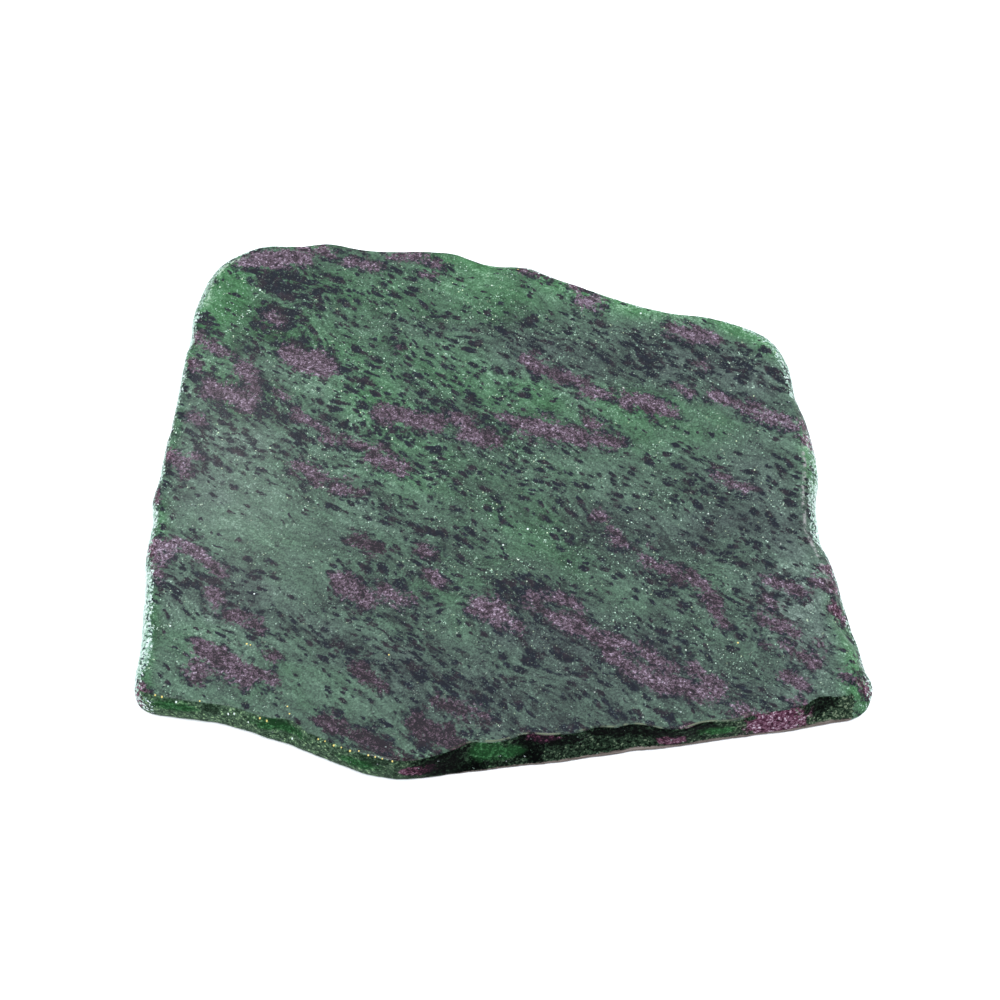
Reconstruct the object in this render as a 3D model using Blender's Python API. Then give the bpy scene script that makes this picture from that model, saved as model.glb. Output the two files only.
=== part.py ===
# Ruby in zoisite slab.
#
# A flat slice sawn from green zoisite rock that holds black hornblende flakes and
# patches of ruby. The two faces are sawn parallel, and tumbling has rounded the rim
# and left shell-shaped chips along its upper edge. The stone is one solid piece.
#
# It lies on its underside. The long side runs along X, the thickness along Z, and
# the front of the slab faces -Y. The origin is at the middle of the underside.

import bpy
import math
from mathutils import Vector, noise

MM = 0.001

# Driving dimensions, in millimetres.
THICKNESS = 6.0  # between the two sawn faces
ARRIS = 0.5  # radius worn on the edge of the top face
UNDERCUT = 0.9  # how far the lower edge is worn back under the widest line
RIPPLE_HEIGHT = 0.22  # unevenness left on the rim by tumbling
RIPPLE_LENGTH = 5.5  # length of one ripple along the rim
STATIONS = 300  # sections cut across the rim
EASE = 5  # stations on each side over which the inward direction is evened out

# Heights of the rings of one section, as shares of the wall below and above its
# widest line. The rings crowd together where the wall turns over into the top face.
LOWER_RINGS = (1.0, 0.72, 0.36)
UPPER_RINGS = (0.0, 0.22, 0.43, 0.62, 0.78, 0.9, 0.97, 1.0)

# The rim, anticlockwise from the front left corner as seen from above, in
# millimetres. Each row holds:
#   x, y    a point on the widest line of the rim
#   bevel   how far the top edge is set in from that line
#   girdle  height of that line above the underside
#   hollow  0 where the wall is rounded like a pebble, 1 where it is scooped out
RIM = (
    (-59.8, -37.6, 1.9, 2.4, 0.0),
    (-58.4, -40.5, 1.7, 2.2, 0.0),
    (-55.0, -41.6, 1.3, 2.0, 0.0),
    (-49.0, -42.4, 1.2, 1.9, 0.0),
    (-44.5, -43.3, 1.3, 1.8, 0.0),
    (-38.0, -45.4, 1.3, 1.8, 0.0),
    (-31.0, -48.1, 1.2, 1.7, 0.0),
    (-25.0, -50.7, 1.2, 1.7, 0.0),
    (-21.0, -52.1, 1.0, 1.6, 0.0),
    (-15.5, -52.7, 0.9, 1.4, 0.0),
    (-10.0, -52.0, 1.4, 1.0, 0.4),
    (-4.0, -51.1, 2.0, 0.9, 0.7),
    (5.0, -50.1, 2.2, 0.9, 0.8),
    (14.0, -48.8, 2.0, 0.9, 0.8),
    (21.0, -47.7, 1.6, 0.9, 0.8),
    (28.0, -46.9, 0.3, 0.9, 0.6),
    (36.0, -45.6, 0.4, 0.9, 0.5),
    (41.0, -44.8, 1.4, 1.0, 0.0),
    (46.0, -44.1, 1.9, 1.0, 0.0),
    (51.0, -43.1, 1.4, 1.0, 0.6),
    (56.3, -42.0, 2.5, 1.3, 0.5),
    (58.5, -40.4, 3.5, 1.8, 0.4),
    (59.8, -37.0, 4.0, 2.2, 0.4),
    (58.6, -34.2, 3.5, 2.3, 0.3),
    (58.0, -30.0, 3.6, 2.2, 0.3),
    (56.7, -25.0, 3.6, 2.2, 0.3),
    (55.6, -19.0, 3.0, 2.2, 0.2),
    (54.6, -14.0, 2.9, 2.2, 0.2),
    (53.0, -9.5, 2.8, 2.3, 0.3),
    (52.9, -3.0, 3.0, 2.4, 0.3),
    (53.5, 2.5, 3.2, 2.4, 0.3),
    (53.2, 9.0, 3.0, 2.4, 0.3),
    (52.3, 14.0, 2.6, 2.4, 0.2),
    (50.7, 18.5, 1.7, 2.4, 0.1),
    (50.2, 23.0, 1.7, 2.4, 0.0),
    (49.2, 27.4, 2.3, 2.5, 0.0),
    (47.1, 30.9, 3.0, 2.5, 0.0),
    (43.0, 33.3, 2.4, 2.6, 0.0),
    (37.5, 35.0, 1.5, 2.7, 0.0),
    (31.0, 36.1, 1.5, 2.7, 0.0),
    (24.0, 37.9, 1.7, 2.7, 0.0),
    (16.0, 41.3, 1.7, 2.7, 0.0),
    (9.0, 44.1, 1.5, 2.7, 0.0),
    (4.7, 46.7, 3.0, 2.6, 0.0),
    (-1.5, 47.3, 3.0, 2.6, 0.0),
    (-5.5, 48.2, 2.3, 2.7, 0.0),
    (-9.5, 49.6, 1.5, 2.7, 0.0),
    (-17.0, 50.0, 1.4, 2.7, 0.0),
    (-24.5, 50.2, 1.5, 2.7, 0.0),
    (-29.5, 51.4, 1.5, 2.7, 0.0),
    (-32.5, 51.9, 1.5, 2.7, 0.0),
    (-36.5, 51.3, 1.5, 2.7, 0.0),
    (-43.0, 51.4, 1.9, 2.7, 0.0),
    (-47.5, 49.8, 2.5, 2.7, 0.0),
    (-51.7, 47.2, 3.0, 2.6, 0.3),
    (-54.0, 42.5, 2.9, 2.6, 0.4),
    (-55.1, 36.0, 1.6, 2.5, 0.0),
    (-55.8, 28.0, 1.2, 2.5, 0.0),
    (-56.7, 18.0, 1.2, 2.5, 0.0),
    (-57.9, 8.5, 1.4, 2.5, 0.0),
    (-58.6, 1.5, 1.5, 2.5, 0.0),
    (-59.5, -2.8, 1.8, 2.5, 0.0),
    (-58.9, -7.0, 1.4, 2.5, 0.0),
    (-59.5, -13.5, 1.8, 2.5, 0.0),
    (-59.2, -21.0, 1.4, 2.5, 0.0),
    (-59.1, -31.0, 1.4, 2.5, 0.0),
)

# Shell-shaped chips along the upper edge, in millimetres: where each one is
# centred, how far it reaches to either side, and how deep it bites at its middle.
CHIPS = (
    (-35.0, -46.4, 3.4, 0.6),
    (-5.2, -50.9, 3.2, 0.5),
    (3.6, -49.9, 3.8, 0.6),
    (15.4, -48.2, 3.6, 0.6),
    (22.2, -47.1, 3.6, 0.6),
    (32.5, -46.0, 3.8, 0.7),
    (52.6, -42.8, 3.6, 0.9),
    (56.6, -27.5, 4.0, 0.5),
    (53.0, -9.0, 3.0, 0.4),
    (-55.6, 31.0, 2.6, 0.5),
)


def blended(a, b, c, d, t):
    """The value at share t between b and c of a smooth curve through all four."""
    slope_b = (c - a) / 2
    slope_c = (d - b) / 2
    rise = c - b
    return b + t * (slope_b + t * (3 * rise - 2 * slope_b - slope_c
                                   + t * (slope_b + slope_c - 2 * rise)))


def fine_rim(steps):
    """The rows of RIM joined by a smooth closed curve, with steps to each span."""
    count = len(RIM)
    rows = []
    for i in range(count):
        four = [RIM[(i + k) % count] for k in (-1, 0, 1, 2)]
        for step in range(steps):
            rows.append([blended(*values, step / steps) for values in zip(*four)])
    return rows


def spaced(rows, count):
    """The same closed curve as count rows at equal distances along it."""
    ring = rows + [rows[0]]
    spans = [math.dist(p[:2], q[:2]) for p, q in zip(ring, ring[1:])]
    stride = sum(spans) / count
    result = []
    index = 0
    passed = 0.0
    for station in range(count):
        while passed + spans[index] < station * stride:
            passed += spans[index]
            index += 1
        share = (station * stride - passed) / spans[index]
        result.append([p + (q - p) * share for p, q in zip(ring[index], ring[index + 1])])
    return result


def centred(rows):
    """The rows moved so that the middle of their bounding box is at the origin."""
    xs = [row[0] for row in rows]
    ys = [row[1] for row in rows]
    middle_x = (min(xs) + max(xs)) / 2
    middle_y = (min(ys) + max(ys)) / 2
    return [[row[0] - middle_x, row[1] - middle_y] + row[2:] for row in rows]


def chip_bite(x, y):
    """Depth and hollowness that the chips add to the wall near a point of the rim."""
    depth = 0.0
    hollow = 0.0
    for chip_x, chip_y, reach, bite in CHIPS:
        share = math.dist((x, y), (chip_x, chip_y)) / reach
        if share < 1:
            depth = max(depth, bite * (1 - share * share))
            hollow = max(hollow, 1 - share * share)
    return depth, hollow


def inward_lengths(rows):
    """How far to move towards the middle for each millimetre square to the rim."""
    count = len(rows)
    lengths = []
    for i in range(count):
        before = rows[i - 1]
        after = rows[(i + 1) % count]
        along = Vector((after[0] - before[0], after[1] - before[1])).normalized()
        outward = Vector((along.y, -along.x))
        radial = Vector(rows[i][:2]).normalized()
        lengths.append(1 / max(outward.dot(radial), 0.5))
    window = range(-EASE, EASE + 1)
    return [sum(lengths[(i + k) % count] for k in window) / len(window)
            for i in range(count)]


def section(bevel, girdle, hollow):
    """Heights and insets of one section of the rim, from underside to top face."""
    points = []
    for share in LOWER_RINGS:
        points.append((girdle * (1 - share), UNDERCUT * (1 - math.sqrt(1 - share * share))))
    for share in UPPER_RINGS:
        z = girdle + (THICKNESS - girdle) * share
        rounded = 1 - math.sqrt(1 - share * share)
        scooped = 2 * share - share * share
        inset = bevel * (rounded + (scooped - rounded) * hollow)
        turn = max(0.0, (z - (THICKNESS - ARRIS)) / ARRIS)
        inset += ARRIS * (1 - math.sqrt(1 - min(turn, 1.0) ** 2))
        points.append((z, inset))
    return points


def slab_mesh(name):
    """The closed surface of the slab, as rings stacked from underside to top face."""
    rows = centred(spaced(fine_rim(12), STATIONS))
    lengths = inward_lengths(rows)
    rings = len(LOWER_RINGS) + len(UPPER_RINGS)
    vertices = []
    for row, length in zip(rows, lengths):
        x, y, bevel, girdle, hollow = row
        bite, scoop = chip_bite(x, y)
        reach = math.hypot(x, y)
        for z, inset in section(bevel + bite, girdle, max(hollow, scoop)):
            place = Vector((x, y, z)) / RIPPLE_LENGTH
            inset += RIPPLE_HEIGHT * (noise.noise(place) + 0.4 * noise.noise(place * 2.7))
            scale = (reach - inset * length) / reach
            vertices.append((x * scale * MM, y * scale * MM, z * MM))
    faces = []
    for i in range(STATIONS):
        here = i * rings
        there = (i + 1) % STATIONS * rings
        for k in range(rings - 1):
            faces.append((here + k, there + k, there + k + 1, here + k + 1))
    faces.append([i * rings + rings - 1 for i in range(STATIONS)])
    faces.append([i * rings for i in reversed(range(STATIONS))])
    mesh = bpy.data.meshes.new(name)
    mesh.from_pydata(vertices, [], faces)
    return mesh


def stone_material():
    """Polished green zoisite, the main colour of the stone."""
    material = bpy.data.materials.new("polished_zoisite")
    material.use_nodes = True
    shader = material.node_tree.nodes["Principled BSDF"]
    shader.inputs["Base Color"].default_value = (0.05, 0.15, 0.07, 1.0)
    shader.inputs["Roughness"].default_value = 0.32
    shader.inputs["IOR"].default_value = 1.7
    return material


for leftover in list(bpy.data.objects):
    bpy.data.objects.remove(leftover)

slab = bpy.data.objects.new("zoisite_slab", slab_mesh("zoisite_slab"))
bpy.context.scene.collection.objects.link(slab)
slab.data.materials.append(stone_material())
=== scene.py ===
import math

import bpy
import numpy as np
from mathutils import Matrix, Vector, noise
from mathutils.bvhtree import BVHTree
from mathutils.geometry import delaunay_2d_cdt
from mathutils.kdtree import KDTree


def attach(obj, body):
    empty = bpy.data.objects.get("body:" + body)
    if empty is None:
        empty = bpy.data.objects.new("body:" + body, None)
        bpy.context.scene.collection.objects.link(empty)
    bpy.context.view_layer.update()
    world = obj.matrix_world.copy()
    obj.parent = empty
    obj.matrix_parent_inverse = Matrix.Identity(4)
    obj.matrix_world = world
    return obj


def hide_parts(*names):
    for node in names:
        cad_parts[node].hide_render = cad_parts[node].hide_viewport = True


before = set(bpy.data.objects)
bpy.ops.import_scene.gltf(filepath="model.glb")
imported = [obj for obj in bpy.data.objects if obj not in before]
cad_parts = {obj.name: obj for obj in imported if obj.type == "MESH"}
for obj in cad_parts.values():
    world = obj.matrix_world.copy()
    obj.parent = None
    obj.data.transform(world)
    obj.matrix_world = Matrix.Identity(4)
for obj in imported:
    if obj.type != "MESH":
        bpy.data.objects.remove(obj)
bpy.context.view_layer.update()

MM = 0.001

# The polished slab, in millimetres.
THICKNESS = 6.0
WIDEST_LEVEL = 2.2  # height at which the columns of the wall mesh are spaced evenly
STATIONS = 900  # columns of the wall mesh round the rim
TOP_GRID = 0.62  # spacing of the mesh points on the top face
UNDER_GRID = 1.05  # the same on the underside
WALL_EVENING = 1.6  # columns over which the CAD wall is evened out
WALL_GRAIN = ((1.9, 0.10), (0.8, 0.05))  # size and height of the lumps on the wall
WALL_ROOM = 0.05  # how far the wall is drawn in to make room for them
CREST_LOW = 5.88  # heights of the crest of the front wall
CREST_HIGH = 5.985
RIDGE_INSET = 2.6  # how far inside the rim the ridge at the right lies, along which a highlight is painted
FACET_HIGHLIGHT_INSET = 2.3  # the same for the painted highlight line at the facet edge in the back left corner
GLINT_SQUASH = 0.4  # how much heights count in the reach of a painted glint

# How the tables below are laid over the slab.
FOLIATION = 33.0  # degrees that the grain runs down towards the right, seen from above
LEAN = 0.25  # sideways drift of the markings for each millimetre of depth
TABLE_SHIFT = 0.73  # RUBY and DARK_ZONES count Y from this far behind the origin

# Levels that the zones raise or lower.
DARK_BASE = 0.42
FRESH_BASE = -0.15
TONE_BASE = 0.475
RUBY_TONE_BASE = 0.50
GLINT_BASE = 0.50

# Smoothest and roughest grains, reflection and depth of relief of each finish.
STONE_IOR = 1.38
FINISHES = {
    "polished": (0.13, 0.22, 0.5, 0.03),
    "tumbled": (0.45, 0.65, 0.12, 0.8),
    "broken": (0.45, 0.65, 0.03, 0.8),
}

# Colours of the minerals and of painted shade, highlights and reflections, from the darkest
# grains to the palest: a share and a colour.
GREEN = (
    (0, (0.011, 0.017, 0.014)), (0.18, (0.021, 0.035, 0.025)), (0.35, (0.032, 0.055, 0.038)),
    (0.5, (0.042, 0.076, 0.05)), (0.67, (0.055, 0.1, 0.065)), (0.82, (0.074, 0.13, 0.086)),
    (1, (0.13, 0.205, 0.145)),
)
GREY = (
    (0, (0.012, 0.015, 0.015)), (0.18, (0.022, 0.03, 0.028)), (0.35, (0.034, 0.047, 0.041)),
    (0.5, (0.045, 0.064, 0.054)), (0.67, (0.06, 0.085, 0.07)), (0.82, (0.08, 0.112, 0.092)),
    (1, (0.14, 0.182, 0.155)),
)
VIVID = (
    (0, (0.006, 0.026, 0.008)), (0.25, (0.014, 0.056, 0.018)), (0.5, (0.028, 0.09, 0.033)),
    (0.7, (0.042, 0.124, 0.05)), (0.85, (0.072, 0.172, 0.082)), (1, (0.18, 0.3, 0.19)),
)
FLAKE = (
    (0, (0.0002, 0.0003, 0.003)), (0.45, (0.001, 0.0018, 0.006)), (0.75, (0.006, 0.009, 0.015)),
    (1, (0.028, 0.04, 0.05)),
)
BROWN_FLAKE = (
    (0, (0.002, 0.0008, 0.003)), (0.45, (0.008, 0.0045, 0.008)), (0.75, (0.02, 0.014, 0.019)),
    (1, (0.048, 0.042, 0.046)),
)
RUBY_RED = (
    (0, (0.008, 0.0045, 0.007)), (0.18, (0.024, 0.014, 0.018)), (0.33, (0.042, 0.026, 0.035)),
    (0.5, (0.066, 0.041, 0.056)), (0.67, (0.093, 0.062, 0.083)), (0.82, (0.134, 0.096, 0.126)),
    (1, (0.28, 0.22, 0.275)),
)
CRIMSON = (
    (0, (0.006, 0.003, 0.005)), (0.25, (0.032, 0.009, 0.018)), (0.5, (0.08, 0.03, 0.05)),
    (0.7, (0.135, 0.07, 0.098)), (0.85, (0.23, 0.155, 0.195)), (1, (0.47, 0.38, 0.44)),
)
SHADED = (
    (0, (0.0002, 0.0004, 0.0003)), (0.2, (0.0008, 0.0018, 0.001)), (0.35, (0.003, 0.0062, 0.0036)),
    (0.5, (0.007, 0.0145, 0.008)), (0.65, (0.013, 0.025, 0.014)), (0.8, (0.024, 0.041, 0.024)),
    (0.92, (0.046, 0.066, 0.04)), (1, (0.105, 0.135, 0.085)),
)
OLIVE = (
    (0, (0.005, 0.012, 0.006)), (0.25, (0.016, 0.03, 0.017)), (0.5, (0.032, 0.056, 0.034)),
    (0.7, (0.05, 0.086, 0.05)), (0.85, (0.08, 0.135, 0.072)), (1, (0.21, 0.31, 0.16)),
)
# Painted highlight of the rim: pale grains, from the darkest to the palest.
RIM_HIGHLIGHT_COLORS = (
    (0, (0.03, 0.06, 0.04)), (0.22, (0.13, 0.225, 0.16)), (0.45, (0.27, 0.375, 0.31)),
    (0.7, (0.42, 0.49, 0.46)), (1, (0.56, 0.59, 0.59)),
)
# Painted glints of sparkling grains, where cleavage faces catch the light.
SPARKS = (
    (0, (0.17, 0.29, 0.2)), (0.5, (0.27, 0.4, 0.3)), (0.8, (0.39, 0.51, 0.42)),
    (0.92, (0.46, 0.56, 0.33)), (1, (0.64, 0.7, 0.64)),
)
# Painted reflection of the floor in the pale brown-grey strip along the foot of the front wall.
FOOT_REFLECTION = (
    (0.3, (0.05, 0.04, 0.035)), (0.48, (0.105, 0.084, 0.074)), (0.7, (0.18, 0.15, 0.134)),
)
# Painted glints, painted highlight lines and the dark pits among the painted rim highlight.
PALE_GLINT = (0.56, 0.62, 0.58, 1.0)
FACET_HIGHLIGHT = (0.34, 0.45, 0.34, 1.0)
PIT = (0.016, 0.026, 0.03, 1.0)
GOLD_GLINT = (0.56, 0.44, 0.14, 1.0)
CREST_HIGHLIGHT = (0.105, 0.122, 0.08, 1.0)
RIDGE_HIGHLIGHT = (0.25, 0.24, 0.235, 1.0)

# The camera, in metres, degrees and millimetres of film.
CAMERA_PLACE = (-0.00062, -0.212881, 0.34151)
CAMERA_ELEVATION = 58.0
CAMERA_LENS = 85.0
CAMERA_SENSOR = 36.0

# The studio, in metres. Each softbox: name, place, width, height, brightness.
FLOOR_HALF = 3.0
WORLD_COLOR = (0.90, 1.0, 1.11, 1.0)
WORLD_STRENGTH = 1.05
SOFTBOXES = (
    ("overhead", (0.0, -0.35, 1.0), 0.8, 0.4, 10.0),
    ("lamp", (-0.154, 0.507, 0.80), 0.045, 0.10, 4.0),
    ("left_panel", (-0.78, 0.50, 0.30), 0.30, 0.55, 10.0),
    ("right_panel", (0.78, 0.50, 0.30), 0.30, 0.55, 10.0),
)

# Wall heights: close together where the wall turns over into the two faces.
LEVELS = (
    0.0, 0.12, 0.3, 0.55, 0.85, 1.15, 1.45, 1.75, 2.05, 2.35, 2.65, 2.95, 3.25, 3.55,
    3.85, 4.1, 4.35, 4.55, 4.75, 4.93, 5.1, 5.25, 5.38, 5.5, 5.6, 5.69, 5.77, 5.84,
    5.9, 5.94, 5.97, 6.0,
)

# Ruby patches, each a rounded bar from one point to another with a half width.
RUBY = (
    (-46.2, 46.2, -43, 46.6, 1.7), (-42, 46.8, -36, 47, 2.5), (-32.5, 48.5, -31, 47.5, 1.4),
    (-28, 46.6, -26.5, 46.2, 1.1), (-25, 45.8, -22.5, 45.8, 1.4), (-20, 47.4, -14, 47, 1.3),
    (-11.9, 46, -11.5, 46, 1.2), (-14, 43.4, -12.5, 43, 1), (3.2, 44.8, 6, 44.2, 1.1),
    (8, 43.2, 10, 42.3, 0.7), (12, 41, 13, 39.5, 1), (13.5, 37.4, 16, 37.6, 1.5),
    (15.5, 37.5, 17.3, 36.2, 1), (-53.8, 29.8, -51, 27.8, 1.5), (-51, 27.8, -48.2, 25.8, 1.3),
    (-54.3, 24.2, -53.6, 23.2, 1), (-37.5, 25.6, -33.5, 23.8, 2), (-32.5, 25.4, -31, 23.6, 2.5),
    (-45.5, 23.2, -43.8, 21.8, 1.8), (-50.5, 18.6, -47.5, 17.4, 1.8),
    (-47.5, 17.5, -44, 15.6, 2.2), (-43.5, 19.4, -42.8, 18.4, 0.9), (-39, 17.6, -38, 17, 0.9),
    (-53.3, 12.4, -52.4, 11.6, 1.2), (-41, 33.6, -39.8, 32.8, 1.7), (-35.2, 13.2, -33, 12.2, 1.3),
    (-33, 12, -30.3, 10.3, 1), (-30.2, 8.6, -27.6, 8.2, 1.3), (-26, 7.8, -22.5, 6, 1.4),
    (-22, 5.2, -17, 2.6, 1.8), (-34.8, 2.8, -31, 0.2, 1.5), (-26.2, 0.4, -25.6, 0.1, 0.9),
    (-28, -1.2, -24, -2.6, 1.2), (-20.5, 13.4, -16.5, 13, 2), (-16, 12.4, -11.5, 11.4, 1.8),
    (-7.6, 12.6, -6.2, 11.6, 1.5), (-6.6, 9.2, -2, 8.2, 1.7), (-0.5, 13.2, 2.2, 11.6, 1.1),
    (1.6, 9.9, 2.8, 9.4, 0.9), (4.6, 10.8, 8, 10.2, 2.1), (8.5, 10.2, 12.6, 8.6, 2.3),
    (14.6, 11.6, 16.4, 11.1, 1.2), (16, 8.4, 18.6, 7.6, 1.5), (3.6, 25, 6.4, 23.2, 1.7),
    (7, 22.6, 9.6, 20.8, 1.6), (10, 21.2, 13.8, 20, 1.4), (14.2, 18.8, 18.4, 17.2, 1.3),
    (21, 16.4, 24.6, 16, 1.7), (25.2, 15.2, 29.2, 13.2, 1.8), (29.6, 31.2, 33, 30.2, 1.8),
    (33.6, 30.6, 36.2, 29.6, 1.7), (34.6, 24.4, 35.2, 23.6, 1), (29.6, 19.8, 32, 18, 1),
    (36.6, 17.4, 40.5, 15.6, 1.3), (41, 15.2, 46, 12.6, 1.4), (46.4, 12.6, 50, 10.6, 1.2),
    (51.2, 12, 52.2, 8.8, 1.2), (35.6, 1.2, 38, 0.2, 0.8), (38, -0.6, 40.6, -1.6, 1),
    (15.6, -6.8, 16.6, -8, 0.9), (17.6, -9, 19.2, -10.2, 1), (18.4, -11.8, 20, -13, 0.8),
    (22.2, -12.4, 24, -13.2, 0.8), (-58.2, -13.4, -54.6, -12.4, 2), (-57, -15.8, -56, -14.8, 1.5),
    (-52.6, -12.8, -50, -14.6, 1.4), (-50, -15, -46.8, -18, 1.2),
    (-57.2, -18.2, -56.4, -19.2, 0.9), (-56.8, 4.6, -54.4, 3.2, 1.5), (-54.4, 2.6, -53.8, 1, 1),
    (-59.2, -2, -58.2, -4, 1), (-47.8, -21.8, -47.2, -23.4, 1.6),
    (-43.6, -26.2, -41.4, -27.6, 1.4), (-40.4, -27.6, -39.6, -29, 1.2),
    (-48.6, -32.4, -46, -34.6, 2.3), (-45.5, -33.8, -41.6, -37, 2.6),
    (-49.8, -35.6, -48.4, -36.8, 1.5), (-38.6, -33, -37.4, -33.8, 1), (-40, -37, -37, -38, 1.3),
    (-25, -11.6, -21, -13.6, 1.4), (-26.6, -19.2, -25, -21, 1.9), (-24.6, -21, -22.2, -23.4, 1.6),
    (-20, -21.6, -16, -23.8, 1.5), (-13.2, -13.4, -12.2, -14.6, 1.2),
    (-11.6, -18.2, -11.2, -20.4, 1.5), (-23.4, -35.4, -21.4, -38, 1.5),
    (-21, -38, -19.8, -39.4, 1.1), (-28.6, -45, -26.4, -46.4, 1.5),
    (-26.2, -46.6, -23.4, -48, 1.2), (-22.4, -48.4, -18.8, -50.2, 1.6),
    (-18.4, -50.4, -15.6, -52.6, 1.3), (-10.6, -41.6, -6.4, -43.2, 1.7), (-6, -43, -3, -44.6, 1.3),
    (-13.4, -46.2, -9, -48, 2.1), (-9, -46.6, -6.6, -49.4, 1.8), (-17, -53, -11.4, -53.6, 1.2),
    (3.4, -48.2, 7.6, -48.8, 1.2), (-3.8, -24, -1, -26, 2.3), (-0.5, -26.4, 2.4, -28.2, 1.2),
    (4.6, -22, 7, -23, 0.9), (8.6, -22.4, 10, -23.8, 1), (11, -23.6, 12.4, -25.4, 1.1),
    (3.4, -24.6, 7.6, -26, 0.9), (9.4, -26.6, 12.6, -28.6, 1.8), (12.6, -28.8, 16.6, -31.2, 1.7),
    (17, -30.6, 22, -32.4, 1.1), (22.4, -32.8, 27.2, -35.8, 1.2), (17, -33.4, 22, -36.4, 1.4),
    (22, -36.4, 27, -38.8, 1.9), (27.4, -38.6, 33.4, -40.4, 1.8), (30.6, -36.2, 33, -38.6, 1.6),
    (22.6, -15.4, 25.4, -17, 1.2), (26, -17.2, 29, -19.2, 1.3), (31, -18.8, 33.4, -21.4, 1.6),
    (33.4, -21.6, 35, -23.4, 1), (34.2, -25.4, 35.6, -27.8, 1.2), (43.6, -19.6, 46.6, -20.6, 1.2),
    (46.6, -20.4, 50, -21.6, 1.2), (51, -19.6, 53.6, -20, 1.5), (52.8, -17.2, 54.2, -15.4, 0.9),
    (53.8, -23.8, 55.4, -25, 0.9), (42.6, -23, 43.6, -24.2, 1), (41.2, -25.4, 44, -27.8, 1.4),
    (44, -28, 47.2, -29.8, 1.3), (45.2, -31.2, 49.6, -35, 1.4), (41.4, -30.6, 42.6, -31.4, 0.9),
    (50.4, -30.8, 52, -32.6, 0.9), (45, -37.4, 48, -39.2, 1.1), (46, -41, 48.4, -42, 0.8),
    (37, -43.4, 41, -44.8, 1.4), (41, -44.6, 47.4, -45.4, 1.5), (24.6, -47.8, 29.4, -46.8, 1),
    (54.6, -37, 58.4, -38.2, 1.2), (56, -43.2, 57, -43, 1.3), (-59, -38.6, -57.4, -42.6, 1.2),
    (-52.6, 5.4, -51.8, 4.6, 0.5), (-18, 27.6, -17.4, 27.3, 0.4),
)

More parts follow.
